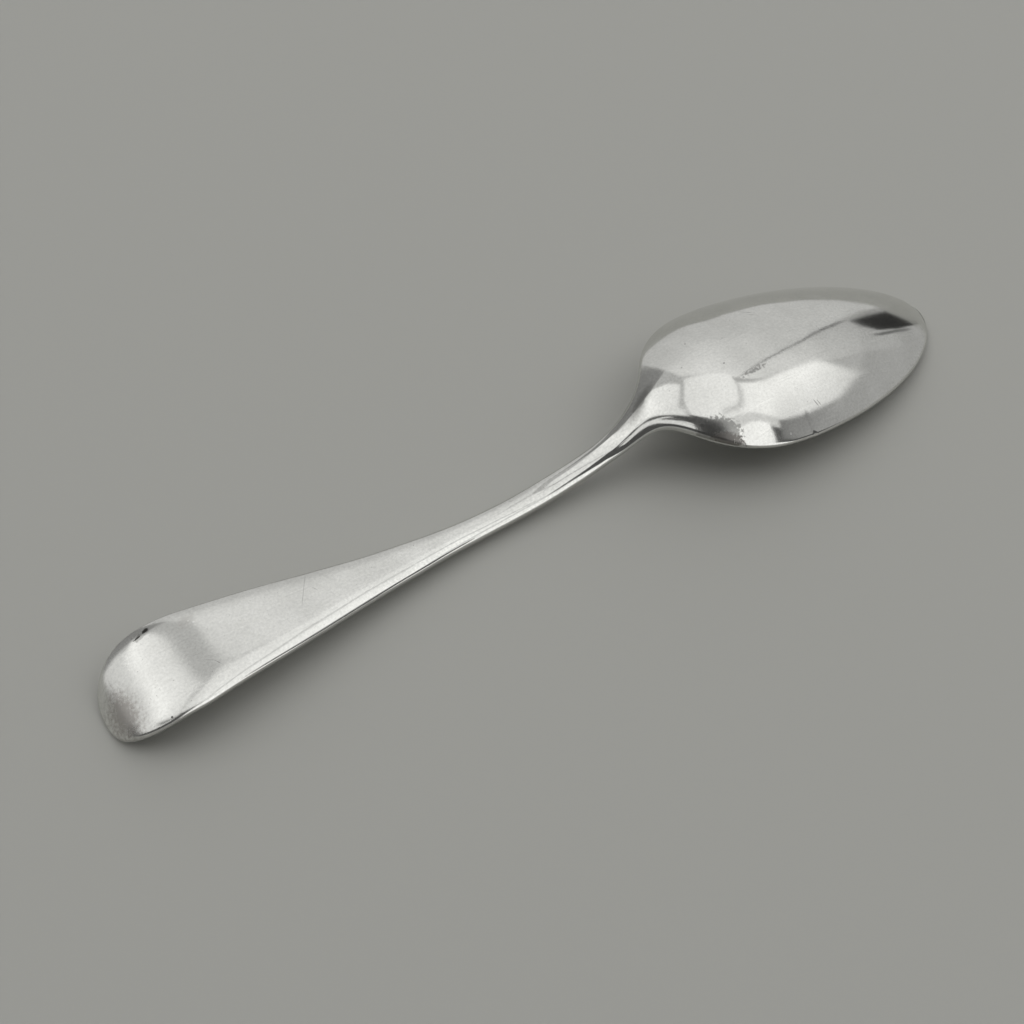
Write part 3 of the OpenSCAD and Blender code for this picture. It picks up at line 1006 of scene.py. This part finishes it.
@dataclass
class Studio:
    """The pale floor, the room's grey and the light cards."""

    floor_size: float = 8.0
    floor_tone: float = 0.53
    floor_blue_share: float = 0.95
    floor_roughness: float = 0.6
    floor_shine: float = 0.2
    room_tone: float = 0.34
    room_blue_share: float = 0.97
    reach: float = 3.0
    card_gap: float = 0.04
    far: Vector = field(default_factory=lambda: Vector((0.5329, 0.8462, 0)))
    right: Vector = field(default_factory=lambda: Vector((0.84616, -0.53293, 0)))

    def cards(self) -> list[LightCard]:
        """Lists the studio's cards, the farthest first."""
        p, u, up, side = CardPlace, upright, Fade.UP, Fade.SIDE
        rows = [
            ("ceiling", up, ((0, 0.5),), (p(40, -52), p(38, 62), p(112, 62), p(112, -52))),
            ("near_room", up, ((0, 0.08),), (p(112, -80), p(112, 80), p(176, 84), p(176, -84))),
            ("near_left", up, ((0, 0.88),),
             (p(100, -60), p(100, -7.5), p(119, -7.5), p(136, -10), p(138, -74)), 0.05, False),
            ("left_wall", side, ((-80, 0.72), (-66, 0.74), (-50, 0.8)),
             (p(66, -48), p(112, -50), p(106, -86), p(2, -86), p(30, -68))),
            ("left_grey", up, ((0, 0.26),),
             (p(-2, -37), p(14, -34), p(28, -26.5), p(42, -19.5), p(49, -30), p(54, -43), p(57, -60),
              p(30, -80), p(-2, -80))),
            ("far_wall", up, ((5, 0.58), (30, 0.62), (55, 0.84)),
             (u(-36, 0), u(31.2, 0), u(31.2, 56), u(-14, 56)), 0.02),
            ("right_wall", up, ((5, 0.42), (25, 0.53), (48, 0.82)),
             (u(31.6, 0), u(62, 0), u(58, 36), u(44, 50), u(31.6, 56)), 0.02),
            ("right_end", up, ((0, 0.42),), (u(58, 0), u(100, 0), u(110, 22), u(56, 24)), 0.2),
            ("near_gap", up, ((0, 0.75),), (p(100, 16), p(100, 56), p(118, 56), p(118, 16))),
            ("panel_left", side, ((-56, 0.9), (-40, 1.15), (-28, 1.0), (-9, 0.9)),
             (p(63, -8.5), p(57, -19), p(50, -30), p(54, -43), p(62, -46), p(66, -52), p(108, -56),
              p(112, -8.5))),
            ("panel_middle", side, ((-4, 0.9), (14, 1.0)),
             (p(58, -6.5), p(57, 14), p(106, 17), p(112, -6.5))),
            ("panel_right", side, ((20, 1.04), (40, 1.15), (66, 0.8)),
             (p(66, 14), p(53, 36), p(54, 65), p(88, 69), p(107, 54), p(107, 16)), 0.2),
            ("near_light", up, ((0, 1.15),),
             (p(113, 20), p(113, 41), p(140, 50), p(172, 62), p(178, 62), p(178, 20), p(128, 19)),
             0.06, False),
            ("near_dark", up, ((0, 0.09),), (p(110, -7), p(108, 18), p(150, 18), p(150, -7))),
            ("near_band", side, ((52, 0.2), (70, 0.36)),
             (p(106, 49), p(92, 64), p(128, 80), p(134, 51)), 0.28),
            ("left_dark", up, ((0, 0.2),), (p(99, -72), p(128, -70), p(128, -89), p(96, -89)), 0.2),
            ("wall_corner", up, ((0, 0.1),), (u(30.9, 13), u(32.1, 13), u(32.2, 55), u(30.6, 55)), 0.3),
            ("lens", up, ((0, 0.03),),
             (u(32, -1), u(42, -2), u(44, 7), u(42.5, 12.5), u(37, 14.5), u(32, 13.5)), 0.1),
            ("lens_bar", up, ((0, 0.15),), (u(44, 2.5), u(46.3, 2.5), u(47.5, 16), u(44.3, 17.5)), 0.4),
        ]
        return [LightCard(*row, distance=self.reach - self.card_gap * i) for i, row in enumerate(rows)]

    def build(self) -> None:
        """Lays the floor and hangs the cards."""
        half, tone, room = self.floor_size / 2, self.floor_tone, self.room_tone
        mesh = bpy.data.meshes.new("floor")
        corners = [(-half, -half, 0), (half, -half, 0), (half, half, 0), (-half, half, 0)]
        mesh.from_pydata(corners, [], [(0, 1, 2, 3)])
        material = new_material("floor")
        inputs = material.node_tree.nodes["Principled BSDF"].inputs
        inputs["Base Color"].default_value = (tone, tone, tone * self.floor_blue_share, 1)
        inputs["Roughness"].default_value = self.floor_roughness
        inputs["Specular IOR Level"].default_value = self.floor_shine
        mesh.materials.append(material)
        floor = bpy.data.objects.new("floor", mesh)
        link(floor)
        for card in self.cards():
            card.build(self.far, self.right)
        world = bpy.data.worlds.new("room")
        world.use_nodes = True
        background = world.node_tree.nodes["Background"]
        background.inputs["Color"].default_value = (room, room, room * self.room_blue_share, 1)
        bpy.context.scene.world = world


@dataclass(frozen=True)
class PhotoCamera:
    """The camera, fitted so that the spoon lies in the picture as it does in the photograph."""

    place: Triple = (-74.85, -108.82, 178.52)
    forward: Triple = (0.31325, 0.49736, -0.80902)
    right: Triple = (0.84616, -0.53293, 0.0)
    angle: float = 36.0
    clip: Pair = (0.01, 100)

    def build(self) -> None:
        """Puts the camera in place and makes it the scene's."""
        data = bpy.data.cameras.new("photo_camera")
        data.sensor_fit = "HORIZONTAL"
        data.angle = math.radians(self.angle)
        data.clip_start, data.clip_end = self.clip
        camera = bpy.data.objects.new("photo_camera", data)
        link(camera)
        forward = Vector(self.forward).normalized()
        right = Vector(self.right).normalized()
        up = right.cross(forward)
        turned = Matrix((right, up, -forward)).transposed().to_4x4()
        camera.matrix_world = Matrix.Translation(Vector(self.place) * MM) @ turned
        bpy.context.scene.camera = camera


def main() -> None:
    """Builds the studio, the camera and the five lengths of the spoon."""
    logging.basicConfig(level=logging.INFO, format="%(message)s")
    bpy.context.scene.view_settings.view_transform = "Standard"
    PhotoCamera().build()
    Studio().build()
    silver = WornSilver().build()
    sweep = SweepTree()
    ring = attribute_cloud("section_ring", SectionLoop().points())
    lengths = [
        HandleEnd("silver_handle_end", "handle_end"),
        EvenLength("silver_handle", "handle", start=SHAPE.handle_x, end=SHAPE.stem_x, steps=160),
        EvenLength("silver_stem", "stem", start=SHAPE.stem_x, end=SHAPE.neck_x),
        EvenLength("silver_neck", "neck", start=SHAPE.neck_x, end=SHAPE.bowl_x),
        Bowl("silver_bowl", "bowl"),
    ]
    for length in lengths:
        length.build(sweep, ring, silver)
    share_normals(lengths)
    for length in lengths:
        length.dress()
    bpy.data.objects.remove(ring)


if __name__ == "__main__":
    main()
